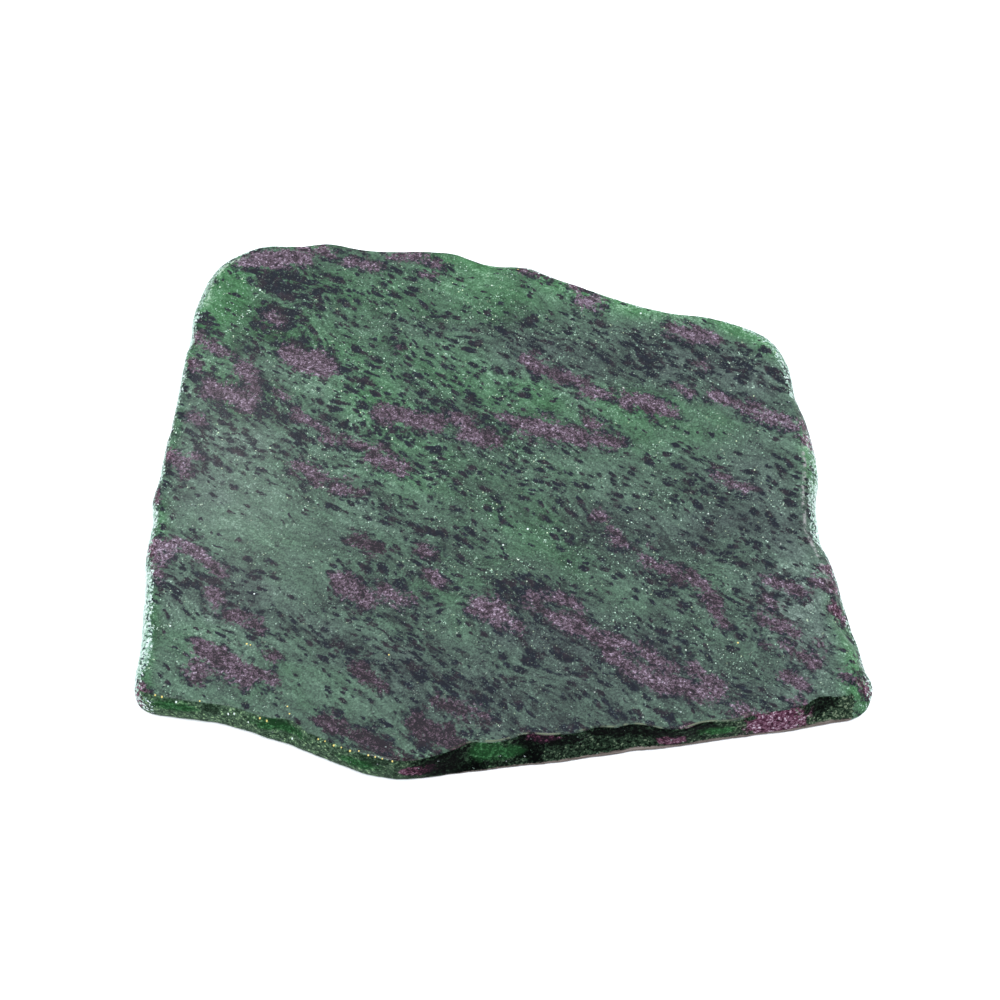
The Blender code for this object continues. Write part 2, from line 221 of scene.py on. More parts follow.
# Zones that change a level: a bar, its half width and the change.
# Richer or poorer in black flakes.
DARK_ZONES = (
    (-43, 43, -37, 38, 3.2, 0.65), (-35, 41.6, -31, 41, 1.4, 0.3), (-42, 36, -40, 35, 1.6, 0.5),
    (-40, 32, -38, 28, 2, 0.4), (-29, 23, -24, 18, 2, 0.5), (-54, 33.5, -53, 32, 1.6, 0.7),
    (-54, 21.5, -51.5, 19.5, 1.6, 0.6), (-42, 17, -34, 11, 2.4, 0.6),
    (-28, 12, -20, 8.6, 1.6, 0.6), (2, 34, 22, 26, 4.5, 0.22), (24, 28, 42, 25, 3.5, 0.3),
    (40, 26, 48, 22, 2.5, 0.15), (-12, 14.4, -2, 12.6, 1, 0.6), (32, 0, 48, -6, 5, 0.2),
    (-56, 2, -51, 3, 2.6, 0.4), (-55, -19, -46, -20, 2.6, 0.4), (-20, -5, -8, -12, 1.8, 0.5),
    (25, -20, 30, -24, 1.8, 0.45), (36, -22, 42, -22, 1.8, 0.35), (0, -20, 12, -23, 1.8, 0.5),
    (-35, -28, -25, -33, 2.2, 0.45), (-22, -34, -12, -38, 3, 0.3), (0, -34, 14, -40, 5, 0.2),
    (-8, 42, 10, 39, 3.2, -0.75), (18, 35.5, 33, 34.5, 1.6, -0.4), (-48, -5, -30, -16, 5, -0.45),
    (-35, -37, -26, -43, 3, -0.5), (-20, -40, -14, -46, 2.2, -0.4), (30, 12, 40, 6, 3.2, -0.5),
    (-50, 42, -46, 36, 2.6, -0.6), (-10, -27, -2, -18, 3, -0.2), (52, 30, 42, 33, 2.4, -0.8),
    (10, 23, 18, 20, 3, -0.3), (28, 33, 38, 31, 2.2, -0.4), (12, 15, 34, 13, 3.2, -0.35),
    (-34, 17, -22, 15, 3, -0.15), (-32, 9, -22, 7, 3, -0.15), (12, 8, 26, 6, 3, -0.2),
    (-24, -8, -2, -9, 3, -0.2), (-26, -23, -13, -24, 3, 0.28), (12, -24, 16, -25, 3, -0.05),
    (-58, -30, -40, -33, 4, -0.25), (-33, -31, -29, -32, 2.5, -0.15),
    (-23, -32, -21, -33, 3, -0.3), (-14, -31, -11, -33, 3, 0.2), (-8, -39, -2, -42, 2.8, 0.45),
    (47, -39, 52, -40, 3, -0.4), (-58, -22, -56, -26, 2.5, -0.2), (-50, -38, -46, -41, 2.5, -0.4),
    (-6, -31, -2, -33, 3, -0.35), (-34, -23, -30, -25, 3, -0.35), (3, -23, 7, -25, 3, 0.3),
    (21, -24, 25, -25, 3, -0.25), (-15, 17, -11, 15, 3, 0.3), (-33, 25, -29, 23, 3, 0.28),
    (-42, 33, -38, 31, 2.5, 0.3), (21, 25, 25, 23, 3, 0.22), (-15, 33, -11, 31, 3, 0.2),
    (-51, 9, -48, 7, 3, 0.18), (30, -4, 42, -5, 4, -0.22), (3, 1, 7, -1, 3, 0.15),
    (39, -39, 43, -41, 2.5, 0.28), (3, -39, 7, -41, 2.5, -0.22), (48, -15, 52, -17, 2.5, -0.35),
    (48, -31, 52, -40, 3, -0.55), (39, 17, 43, 15, 3, -0.3), (14, 17, 23, 15, 3, -0.28),
    (23, 33, 32, 31, 3, -0.3), (-42, 47, -38, 49, 2.5, -0.3), (-25, -43, -20, -47, 2.5, 0.3),
    (-47, -31, -38, -41, 4, -0.25), (-6, -39, -2, -41, 3, -0.35), (3, -15, 7, -17, 3, -0.28),
    (21, 17, 25, 15, 3, -0.2), (30, -39, 34, -41, 3, -0.22), (12, 25, 16, 23, 3, -0.2),
    (12, 9, 16, 7, 3, -0.2), (3, -31, 7, -33, 3, -0.2), (50, -22, 53, -26, 2.5, -0.2),
    (52.4, 9, 52.8, 0, 1.6, -0.2), (48, -31, 52, -41, 3, -0.18), (22, 17, 25, 15, 3, -0.12),
    (-51, -39, -47, -41, 3, -0.12), (-24, 25, -20, 23, 3, -0.11), (-5, -39, 6, -41, 3, 0.1),
    (-42, -23, -38, -25, 3, 0.08), (12, -23, 16, -25, 3, 0.07),
)

# Patches on the front wall, seen from the side: x, height, half length, half height.
WALL_RUBY = (
    (5.8, 5.3, 3, 0.9), (26.8, 3, 2.6, 1.3), (43.5, 3.4, 5.4, 3.2), (-13.5, 3.4, 3, 1.3),
    (57.5, 2.2, 1, 1.2), (-59, 3.6, 1.2, 1.6),
)
# Painted shade: dark patches where the wall lies in shadow under the crest.
WALL_SHADE = (
    (-9.4, 3.6, 3.4, 2.4), (-5.2, 1.6, 2.2, 1.1), (5, 4.8, 2.8, 1.4), (4.6, 2.6, 2, 1.2),
    (10, 4.6, 2, 0.9), (5.8, 5, 3, 1), (18.5, 4.9, 4.2, 1), (23.5, 4.8, 3.4, 1.3),
    (31, 4.8, 2.6, 1.1), (51, 4.6, 2.2, 1.4), (-47, 5.2, 1.6, 0.7), (-35.5, 5.3, 1.6, 0.7),
    (-21, 5.2, 2, 0.8),
)
WALL_VIVID = (
    (-2.2, 4.1, 4, 2.3), (1.2, 3.2, 2.2, 1.3), (34.5, 3.6, 3.6, 1.1), (-36, 4.6, 5, 1.3),
    (-53, 4.6, 4.5, 1.2), (-23, 3.8, 4, 1.3),
)

# Where a highlight is painted on the rim as pale grains, clockwise from the front left corner:
# a point of the rim, how far the painted highlight reaches in from it, and the share of pale
# grains.
RIM_HIGHLIGHT_ZONES = (
    (-55, -41.6, 0.4, 0), (-58.4, -40.5, 0.7, 0.25), (-59.8, -38.2, 1.3, 0.45),
    (-59.6, -35.5, 2, 0.85), (-59.1, -31, 2.1, 0.9), (-59.2, -25, 1.6, 0.8),
    (-59.3, -17, 1.5, 0.8), (-59.5, -13.5, 1, 0.35), (-59, -9, 1.2, 0.7), (-58.8, -5, 1.2, 0.75),
    (-59.5, -2.8, 0.9, 0.35), (-58.4, 2, 1.2, 0.6), (-57.8, 9.5, 0.8, 0.45), (-56.7, 18, 0.9, 0.6),
    (-55.8, 28, 1.1, 0.6), (-55, 36, 1.4, 0.65), (-54, 42.5, 2.1, 0.52), (-51.7, 47.2, 2.1, 0.5),
    (-47.5, 49.8, 1.7, 0.5), (-43, 51.4, 1, 0.45), (-24.5, 50.2, 0.4, 0.2), (-9.5, 49.6, 0.5, 0.3),
    (-5.5, 48.2, 0.8, 0.5), (0.5, 47.3, 0.7, 0.4), (4.7, 46.7, 1.3, 0.5), (9, 44.1, 0.8, 0.4),
    (18, 40.4, 0.9, 0.4), (24, 37.9, 1.2, 0.5), (31, 36.1, 0.8, 0.4), (37.5, 35, 0.9, 0.4),
    (43, 33.3, 1.5, 0.5), (47.1, 30.9, 2, 0.6), (49.2, 27.4, 2, 0.6), (50.2, 23, 1.7, 0.55),
    (50.7, 18.5, 1.5, 0.5), (52.3, 14, 1, 0.1), (53.2, 9, 1.6, 0.3), (53.5, 2.5, 1.6, 0.45),
    (52.9, -3, 1.5, 0.6), (53, -9.5, 1.4, 0.6), (54.6, -14, 1.1, 0.45), (55.6, -19, 0.9, 0.35),
    (56.7, -25, 0.8, 0.2), (58, -30, 0.7, 0.2), (58.6, -34.2, 1, 0.45), (59.8, -37, 1.2, 0.4),
    (58.5, -40.4, 0.9, 0.12), (56.3, -42, 0.4, 0), (51, -43.1, 0.3, 0), (0, -50.6, 0.3, 0),
    (-45, -43.2, 0.3, 0),
)

# Where the green is purer or greyer: the rims, then the bands across the top face.
FRESH_ZONES = (
    (-51.4, 45.8, -53.4, 37, 3, 1.3), (-49, 42, -48.6, 38, 2.4, 0.9),
    (-12, 48.8, -4.5, 48, 1.6, 0.8), (-4, 47, 3, 45.6, 1.6, 0.7), (8, 43.6, 24, 37.4, 1.7, 0.7),
    (24, 37.6, 41, 33.2, 1.7, 0.8), (42, 32.6, 47.5, 28.5, 2.4, 1.1),
    (52.2, 9, 52.6, 1.5, 1.5, 1.1), (54, -25, 56.6, -33.4, 1.8, 1.1),
    (56.6, -38, 58.4, -39.4, 2, 1.1), (-57.4, -38.5, -57.2, -17, 0.9, 0.9),
    (-57.2, -10, -57, -4, 0.9, 0.7), (-56.4, 6, -55.4, 15, 0.9, 0.7),
    (-54.8, 25, -53.8, 34, 1.3, 0.7), (-41, 50.6, 46, 50.6, 0.6, 0.5),
    (-52, 42, 22, 41, 5.5, 0.55), (-50, 32, -12, 27, 4, 0.35), (-30, 25, 6, 19, 4, 0.5),
    (6, 14, 36, 10, 4, 0.4), (-22, 6, 8, -8, 5.5, 0.35), (6, -12, 20, -22, 3, 0.25),
    (-12, -20, -6, -22, 3, 0.25), (-36, -34, -26, -36, 4, 0.2), (2, 28, 36, 24, 4, -0.45),
    (-52, 14, -44, 8, 4, -0.5), (40, 2, 47, -10, 5, -0.55), (18, -9, 34, -9, 3.5, -0.3),
    (-54, -20, -30, -28, 4, -0.4), (2, -27, 12, -29, 4, -0.5), (-16, -36, 46, -40, 5, -0.35),
    (46, -22, 50, -28, 4, -0.7), (-50, 24, -48, 15, 3.5, 0.45), (-42, 17, -38, 15, 3.5, 0.35),
    (-24, 17, -20, 15, 3.5, 0.35), (-14, 9, -4, 8, 3.5, 0.25), (20, 17, 32, 15, 3.5, 0.35),
    (-6, 41, -2, 39, 3.5, 0.35), (-6, 26, -2, 17, 3.5, 0.2), (-50, -31, -48, -33, 3.5, 0.25),
    (-50, 1, -48, -1, 3.5, -0.35), (39, 25, 43, 23, 3.5, -0.35), (-24, 25, -11, 24, 3.5, -0.25),
    (39, -7, 43, -9, 3.5, -0.2), (-8, -43, 8, -46, 3, -0.35), (48, -23, 52, -25, 3, -0.4),
    (22, -15, 24, -33, 4, -0.22), (-24, -31, -20, -33, 3, -0.22), (32, 25, 42, 20, 4, -0.2),
    (-42, -23, -38, -25, 3, -0.2), (-42, 33, -38, 31, 3, 0.35), (-50, 17, -48, 15, 3, 0.25),
    (21, 17, 25, 15, 3, 0.25), (-24, 17, -12, 15, 3, 0.22), (-42, -39, -38, -41, 3, 0.2),
)

# Where the ground is paler or darker.
TONE_ZONES = (
    (-50, -4, -36, -12, 5, 0.12), (-46, 37, -42, 35, 4, -0.2), (-20, 37, -6, 35, 3.5, -0.08),
    (-2, 30, 22, 26, 4, -0.12), (-3, 14, 3, 10, 4, -0.12), (-3, -2, 4, -5, 4, -0.1),
    (14, -10, 30, -14, 4, -0.22), (-20, -19, 12, -21, 4, -0.16), (0, -28, 22, -29, 4, -0.22),
    (22, -35, 40, -37, 4, -0.24), (-12, -42, 8, -45, 4.5, -0.22), (10, 41, 29, 35.5, 2.5, 0.22),
    (35, 33, 46, 29, 3, 0.26), (43, 21, 48, 19, 3.5, 0.2), (6, 21, 12, 19, 3.5, 0.2),
    (-55, 29, -53, 19, 3, 0.16), (-48, 13, -14, 11, 3.5, 0.18), (-29, 21, -25, 19, 4, 0.16),
    (-20, 28, -7, 28, 4, 0.1), (-28, -3, -16, -5, 4, 0.1), (-55, -11, -52, -13, 3.5, 0.2),
    (45, -10, 48, -21, 4, 0.22), (-48, -27, -42, -29, 4, 0.2), (-46, -36, -42, -37, 3, 0.1),
    (16, 12, 26, 12, 4, 0.08), (34, -43, 48, -42, 3, 0.12), (52, 10, 52.4, 0, 1.6, 0.1),
    (55, -25, 57.4, -38, 2, 0.25), (-16, 45, 10, 41, 4, 0.12), (39, -7, 43, -9, 4, -0.28),
    (22, 8, 33, 7, 4, -0.12), (-15, -23, -11, -34, 3.5, -0.1), (-42, -23, -38, -26, 4, -0.15),
    (-34, -39, -29, -41, 3.5, -0.05), (48, -15, 51, -17, 3.5, 0.15),
    (-51.6, 45, -53, 38, 2.6, 0.22), (-50, 25, -48, 23, 3, 0.12), (-52, 8, -38, 7, 3.5, 0.12),
    (14, -22, 20, -24, 3.5, 0.1), (52.3, 9, 52.8, 1, 1.6, 0.2), (32, 24, 42, 24, 4, -0.1),
    (13, -15, 24, -17, 4, -0.06), (-6, -15, 8, -17, 3.5, -0.09), (3, 9, 7, 7, 4, -0.08),
    (-24, -39, -4, -41, 3.5, 0.08), (45, -33, 52, -40, 3.5, 0.14), (30, -31, 35, -33, 3.5, -0.07),
    (-42, 41, -38, 39, 3, 0.1), (23, -7, 34, -9, 3.5, 0.08),
)

# Where the ruby is paler or duller.
RUBY_TONES = (
    (-24, -11, -20, -14, 3, -0.26), (-26, -20, -22, -23, 2.5, -0.05),
    (-24, -34, -19, -40, 3.5, -0.26), (-28, -45, -16, -52, 3.5, -0.3),
    (-14, -46, -6, -49, 4, -0.3), (-10, -41, -3, -45, 3, -0.12), (-42, -27, -39, -30, 2, -0.12),
    (-48, -34, -40, -37, 3, -0.04), (24, -17, 34, -23, 3.5, -0.12), (42, -25, 48, -34, 3, -0.08),
    (-21, 13, -15, 12, 2.5, -0.05), (36, 17, 46, 13, 3, 0.1), (29, 31, 36, 30, 3, 0.04),
    (-44, 47, -30, 48, 3, 0.07), (-57, -13, -53, -13, 2.5, 0.14), (-21, -12, -11, -15, 2.5, -0.1),
    (51, 12, 52.4, 8, 2, 0.12), (13, 38, 17, 36, 2, 0.22), (-4, -24, 2, -28, 3, 0.05),
    (-36, 25, -31, 24, 2.5, 0.04), (3, -48, 8, -49, 3, -0.25),
)

# With more or fewer sparkling grains, which are painted glints.
GLINT_ZONES = (
    (-10, 44, 26, 34, 5, 0.35), (-50, 45, -47, 34, 4, 0.45), (-44, 12, -34, 6, 5, 0.35),
    (-26, 19, -6, 14, 6, 0.25), (0, 2, 14, -14, 7, 0.3), (-36, -34, -24, -42, 7, -0.4),
    (-50, -4, -36, -12, 6, -0.3), (-20, -34, 30, -44, 6, -0.3), (36, 31, 48, 24, 4, 0.25),
    (52, 10, 55, -24, 2.5, 0.4), (2, -22, 26, -34, 5, 0.15), (-57, 20, -58, -30, 2, 0.4),
)

# Painted glints, bright points of the stone: place, height, radius.
GOLD_GLINTS = (
    (-55.6, -39.8, 5.9, 0.18), (-54.5, -40.1, 5.8, 0.2), (-48.4, -40.9, 5.9, 0.15),
    (-38.7, -43.8, 5.7, 0.18), (-37.6, -44.2, 5.5, 0.18), (-34.4, -41.9, 6, 0.16),
    (-34, -43.2, 6, 0.15), (-29.3, -47.5, 5.7, 0.15), (-28.2, -47.9, 5.8, 0.14),
    (-26.8, -48.6, 5.7, 0.18), (-25.6, -49, 5.7, 0.14), (-24.2, -49.6, 5.7, 0.2),
    (-22.8, -49.7, 5.9, 0.15), (-21.3, -50.4, 5.9, 0.18), (-20.2, -50.7, 5.9, 0.16),
    (-19.1, -51, 5.9, 0.14), (-17.5, -51.4, 5.7, 0.17), (-41.5, -30.6, 6, 0.19),
    (-40.9, -30.8, 6, 0.15), (37.8, -30.4, 6, 0.18), (-18.5, -32.6, 6, 0.16),
    (2.6, 45.6, 5.9, 0.2),
)
PALE_GLINTS = (
    (-52.2, -40.9, 5.6, 0.18), (-43.9, -42.6, 4.7, 0.17), (-42.9, -42.7, 5, 0.16),
    (-40.7, -43.8, 4.2, 0.16), (-36, -44.6, 5.6, 0.24), (-33.7, -45.9, 2.6, 0.17),
    (-54.1, -27.3, 6, 0.18), (-43.2, 40.7, 6, 0.22), (24.2, 35.6, 6, 0.2), (-40.8, -21.3, 6, 0.17),
    (4, -8.9, 6, 0.22), (-0.1, -12, 6, 0.18), (4.4, 45.8, 5.6, 0.26), (6.3, 44.6, 5.6, 0.2),
    (11.6, 42.2, 6, 0.17),
)


def smooth_ring(values, width):
    """The values round a closed ring, or rings in rows, evened out over width places."""
    reach = int(width * 3) + 1
    offsets = np.arange(-reach, reach + 1)
    weights = np.exp(-0.5 * (offsets / width) ** 2)
    weights /= weights.sum()
    return sum(w * np.roll(values, k, axis=0) for w, k in zip(weights, offsets))


def wall_reach(node, angles, levels):
    """Distance of the CAD wall from the origin at each angle and height, in millimetres."""
    mesh = node.data
    mesh.calc_loop_triangles()
    tree = BVHTree.FromPolygons([v.co[:] for v in mesh.vertices],
                                [t.vertices[:] for t in mesh.loop_triangles])
    reach = np.zeros((len(angles), len(levels)))
    for i, angle in enumerate(angles):
        out = Vector((math.cos(angle), math.sin(angle), 0.0))
        for k, level in enumerate(levels):
            z = min(max(level, 0.02), THICKNESS - 0.012) * MM
            hit = tree.ray_cast(out * 0.1 + Vector((0, 0, z)), -out)[0]
            reach[i, k] = math.hypot(hit.x, hit.y) / MM
    return reach


def even_angles(node, count):
    """Angles of points spaced evenly along the widest line of the slab."""
    coarse = np.linspace(0, 2 * math.pi, 720, endpoint=False)
    radius = wall_reach(node, coarse, (WIDEST_LEVEL,))[:, 0]
    x = radius * np.cos(coarse)
    y = radius * np.sin(coarse)
    steps = np.hypot(np.roll(x, -1) - x, np.roll(y, -1) - y)
    along = np.concatenate([[0], np.cumsum(steps)])
    turns = np.concatenate([coarse, [2 * math.pi]])
    return np.interp(np.linspace(0, along[-1], count, endpoint=False), along, turns)


def grain_noise(points, size, seed):
    """Smooth noise between about -1 and 1 at each of the points, in lumps of a size."""
    shift = Vector((seed * 13.7, seed * 5.1, seed * 9.3))
    return np.array([noise.noise(Vector(p) / size + shift) for p in points])


def read_round(ring, values, points):
    """Values known along a ring of places, read in the direction of each point."""
    known = np.arctan2(ring[:, 1], ring[:, 0])
    order = np.argsort(known)
    wanted = np.arctan2(points[:, 1], points[:, 0])
    return np.interp(wanted, known[order], values[order], period=2 * math.pi)


def ring_limit(ring, points):
    """Distance of the ring from the origin in the direction of each point."""
    return read_round(ring, np.hypot(ring[:, 0], ring[:, 1]), points)


def face_points(ring, spacing):
    """A staggered grid of points inside the ring, kept off its edge."""
    low = ring.min(axis=0)
    high = ring.max(axis=0)
    row_step = spacing * 0.866
    points = []
    for j in range(int((high[1] - low[1]) / row_step) + 1):
        xs = np.arange(low[0] + (j % 2) * spacing / 2, high[0], spacing)
        ys = np.full_like(xs, low[1] + j * row_step)
        points.append(np.stack([xs, ys], axis=1))
    points = np.concatenate(points)
    inside = np.hypot(points[:, 0], points[:, 1]) < ring_limit(ring, points) - spacing * 0.7
    return points[inside]


def fill_face(ring, ring_index, spacing, first_index, upward):
    """New points and triangles that fill the flat face inside a ring of mesh points."""
    inner = face_points(ring, spacing)
    flat = np.concatenate([ring, inner])
    count = len(ring)
    edges = [(i, (i + 1) % count) for i in range(count)]
    made = delaunay_2d_cdt([Vector(p) for p in flat], edges, [], 0, 1e-6, True)
    source = np.array([min(origins) for origins in made[3]])
    corners = source[np.array([face[:] for face in made[2]])]
    middles = flat[corners].mean(axis=1)
    outside = np.hypot(middles[:, 0], middles[:, 1]) > ring_limit(ring, middles)
    corners = corners[~(outside & (corners < count).all(axis=1))]
    p, q, r = (flat[corners[:, k]] for k in range(3))
    turn = (q - p)[:, 0] * (r - p)[:, 1] - (q - p)[:, 1] * (r - p)[:, 0]
    flip = (turn > 0) != upward
    corners[flip] = corners[flip][:, ::-1]
    index_of = np.concatenate([ring_index, first_index + np.arange(len(inner))])
    return inner, index_of[corners].tolist()


def wall_points(reach, angles, levels):
    """Points of the wall from their distance, angle and height, in rows up the wall."""
    cos = np.cos(angles)[:, None]
    sin = np.sin(angles)[:, None]
    return np.stack([reach * cos, reach * sin, np.broadcast_to(levels, reach.shape)], axis=-1)


def build_slab(node):
    """A fine mesh that follows the CAD solid, with the grain of a tumbled wall."""
    angles = even_angles(node, STATIONS)
    levels = np.array(LEVELS)
    reach = smooth_ring(wall_reach(node, angles, LEVELS), WALL_EVENING)
    middle = reach[:, 1:-1] * 0.5 + (reach[:, :-2] + reach[:, 2:]) * 0.25
    reach[:, 1:-1] = middle
    places = wall_points(reach, angles, levels).reshape(-1, 3)
    rough = sum(grain_noise(places, size, seed) * height
                for seed, (size, height) in enumerate(WALL_GRAIN, start=1))
    fade = np.clip((THICKNESS - levels) / 0.5, 0.1, 1) * np.clip((levels + 0.1) / 0.4, 0.1, 1)
    reach = reach + rough.reshape(reach.shape) * fade - WALL_ROOM
    places = wall_points(reach, angles, levels)
    rows = len(levels)
    points = [places.reshape(-1, 3)]
    faces = []
    for i in range(STATIONS):
        here = i * rows
        there = (i + 1) % STATIONS * rows
        for k in range(rows - 1):
            faces.append((here + k, there + k, there + k + 1, here + k + 1))
    total = STATIONS * rows
    for row, height, grid in ((rows - 1, THICKNESS, TOP_GRID), (0, 0.0, UNDER_GRID)):
        ring_index = [i * rows + row for i in range(STATIONS)]
        inner, made = fill_face(places[:, row, :2], ring_index, grid, total, height > 0)
        points.append(np.column_stack([inner, np.full(len(inner), height)]))
        faces += made
        total += len(inner)
    points = np.concatenate(points)
    mesh = bpy.data.meshes.new("polished_slab")
    mesh.from_pydata((points * MM).tolist(), [], faces)
    mesh.validate()
    mesh.shade_smooth()
    return mesh, points


def bar_distance(x, y, bar):
    """How far inside a rounded bar each place lies: positive inside, negative outside."""
    x0, y0, x1, y1, half = bar
    span = np.array([x1 - x0, y1 - y0])
    share = ((x - x0) * span[0] + (y - y0) * span[1]) / max(span @ span, 1e-6)
    share = np.clip(share, 0, 1)
    return half - np.hypot(x - x0 - share * span[0], y - y0 - share * span[1])


def union(x, y, bars, limit):
    """How far inside the nearest of the bars each place lies, no lower than -limit."""
    best = np.full(len(x), -limit)
    for bar in bars:
        best = np.maximum(best, bar_distance(x, y, bar))
    return best


def markings_plan(points):
    """Where each mesh point reads RUBY and DARK_ZONES, which are laid out on the top face."""
    depth = THICKNESS - points[:, 2]
    x = points[:, 0] - depth * LEAN
    y = points[:, 1] - TABLE_SHIFT + depth * LEAN * 0.5
    return x, y


def zone_sum(x, y, zones, base):
    """The base level at each place, raised or lowered by the zones near it."""
    total = np.full(len(x), base)
    for *ends, half, change in zones:
        inside = bar_distance(x, y, (*ends, 0.0))
        total += change * np.exp(-0.5 * (inside / half) ** 2)
    return total


def front_patches(points, patches):
    """How far inside an oval patch of the front wall each place lies, as a share."""
    best = np.full(len(points), -1.0)
    for x, z, half_length, half_height in patches:
        off = np.hypot((points[:, 0] - x) / half_length, (points[:, 2] - z) / half_height)
        best = np.maximum(best, 1.0 - off)
    return best


def inset_from_rim(points):
    """How far in from the widest line of the slab each place lies, seen from above."""
    rows = len(LEVELS)
    wall = points[:STATIONS * rows, :2].reshape(STATIONS, rows, 2)
    ring = wall[:, rows // 4]
    following = np.roll(ring, -1, axis=0)
    fine = np.concatenate([ring + (following - ring) * share for share in (0, 0.25, 0.5, 0.75)])
    tree = KDTree(len(fine))
    for index, (x, y) in enumerate(fine):
        tree.insert((x, y, 0.0), index)
    tree.balance()
    return np.array([tree.find((x, y, 0.0))[2] for x, y in points[:, :2]])


def rim_highlight_share(points, inset):
    """Share of pale grains of the painted rim highlight at each place, less inwards and under the
    widest line.
    """
    rows = np.array(RIM_HIGHLIGHT_ZONES)
    reach = read_round(rows, rows[:, 2], points)
    share = read_round(rows, rows[:, 3], points)
    brightened = share * (1.0 + 0.7 * rise(0.7 - inset, 0, 0.7))
    lower = np.clip((points[:, 2] - 0.7) / 1.7, 0.35, 1.0)
    return brightened * lower * np.clip((reach - inset) / 0.8 + 0.6, 0, 1)


def rise(values, low, high):
    """0 up to the low value and 1 from the high one on, rising evenly between them."""
    return np.clip((values - low) / (high - low), 0, 1)


def crest_highlight_share(points):
    """1 along the crest where the top face turns over into the broken front wall, where a
    highlight line is painted.
    """
    x, y, z = points.T
    turned = rise(z, CREST_LOW, CREST_LOW + 0.05) * (z < CREST_HIGH)
    along = rise(x, -9, -5) * rise(-x, -40, -32)
    return turned * along * (y < -40)


def ridge_highlight_share(points, inset):
    """1 along the thin ridge where the right rim meets the sawn face, where a highlight line is
    painted.
    """
    x, y, z = points.T
    line = np.clip(1.0 - np.abs(inset - RIDGE_INSET) / 0.4, 0, 1)
    along = rise(-y, -9, -6) * rise(y, -21, -16)
    return line * along * (x > 45) * (z > 4.0)


def facet_highlight_share(points, inset):
    """1 along the edge of the facet in the back left corner, where a highlight line is painted."""
    x, y = points[:, 0], points[:, 1]
    line = np.clip(1.0 - np.abs(inset - FACET_HIGHLIGHT_INSET) / 0.5, 0, 1)
    return line * rise(y, 36, 40) * rise(-x, 45, 48)


def foot_reflection_share(points):
    """1 in the pale brown-grey strip along the foot of the front wall, a painted reflection of the
    floor.
    """
    x, z = points[:, 0], points[:, 2]
    top = 1.05 + 0.62 * rise(x, -8, 24)
    return np.clip((top - z) / 0.4, 0, 1) * np.clip((x + 16) / 4, 0.35, 1)


def mesh_vectors(items, name):
    """One vector of each point or face of a mesh, in rows."""
    values = np.zeros(len(items) * 3, np.float32)
    items.foreach_get(name, values)
    return values.reshape(-1, 3)


def wall_share(mesh):
    """0 on the flat faces, 1 where the wall is steep."""
    upright = np.abs(mesh_vectors(mesh.vertices, "normal")[:, 2])
    return np.clip((0.96 - upright) / 0.35, 0, 1)


def store_pattern(mesh, points):
    """Keeps on the mesh the numbers that its materials read, one for each point."""
    x, y, z = points.T
    plan = markings_plan(points)
    inset = inset_from_rim(points)
    fields = {
        "ruby": union(*plan, RUBY, 4.0),
        "dark": np.clip(zone_sum(*plan, DARK_ZONES, DARK_BASE), 0.0, 1.2),
        "fresh": zone_sum(x, y, FRESH_ZONES, FRESH_BASE),
        "tone": zone_sum(x, y, TONE_ZONES, TONE_BASE),
        "ruby_tone": zone_sum(x, y, RUBY_TONES, RUBY_TONE_BASE),
        "glint": np.clip(zone_sum(x, y, GLINT_ZONES, GLINT_BASE), 0, 1),
        "wall": wall_share(mesh),
        "wall_ruby": front_patches(points, WALL_RUBY),
        # Painted shade under the crest of the front wall.
        "wall_shade": front_patches(points, WALL_SHADE),
        "wall_vivid": front_patches(points, WALL_VIVID),
        "wall_tone": 0.50 + 0.16 * rise(x, 20, 50),
        "olive": rise(-x, 14, 20),
        # Painted reflection along the foot of the front wall.
        "foot_reflection": foot_reflection_share(points),
        # The painted rim highlight, palest in the outer band.
        "rim_highlight": rim_highlight_share(points, inset),
        "outer": rise(0.9 - inset, 0, 0.9),
        "rim": rise(2.4 - inset, 0, 1.6),
        # Where highlight lines are painted along the crest, the right ridge and the back left
        # facet edge.
        "crest": crest_highlight_share(points),
        "ridge": ridge_highlight_share(points, inset),
        "facet_highlight": facet_highlight_share(points, inset),
    }
    for name, values in fields.items():
        layer = mesh.attributes.new(name, "FLOAT", "POINT")
        layer.data.foreach_set("value", values.astype(np.float32))


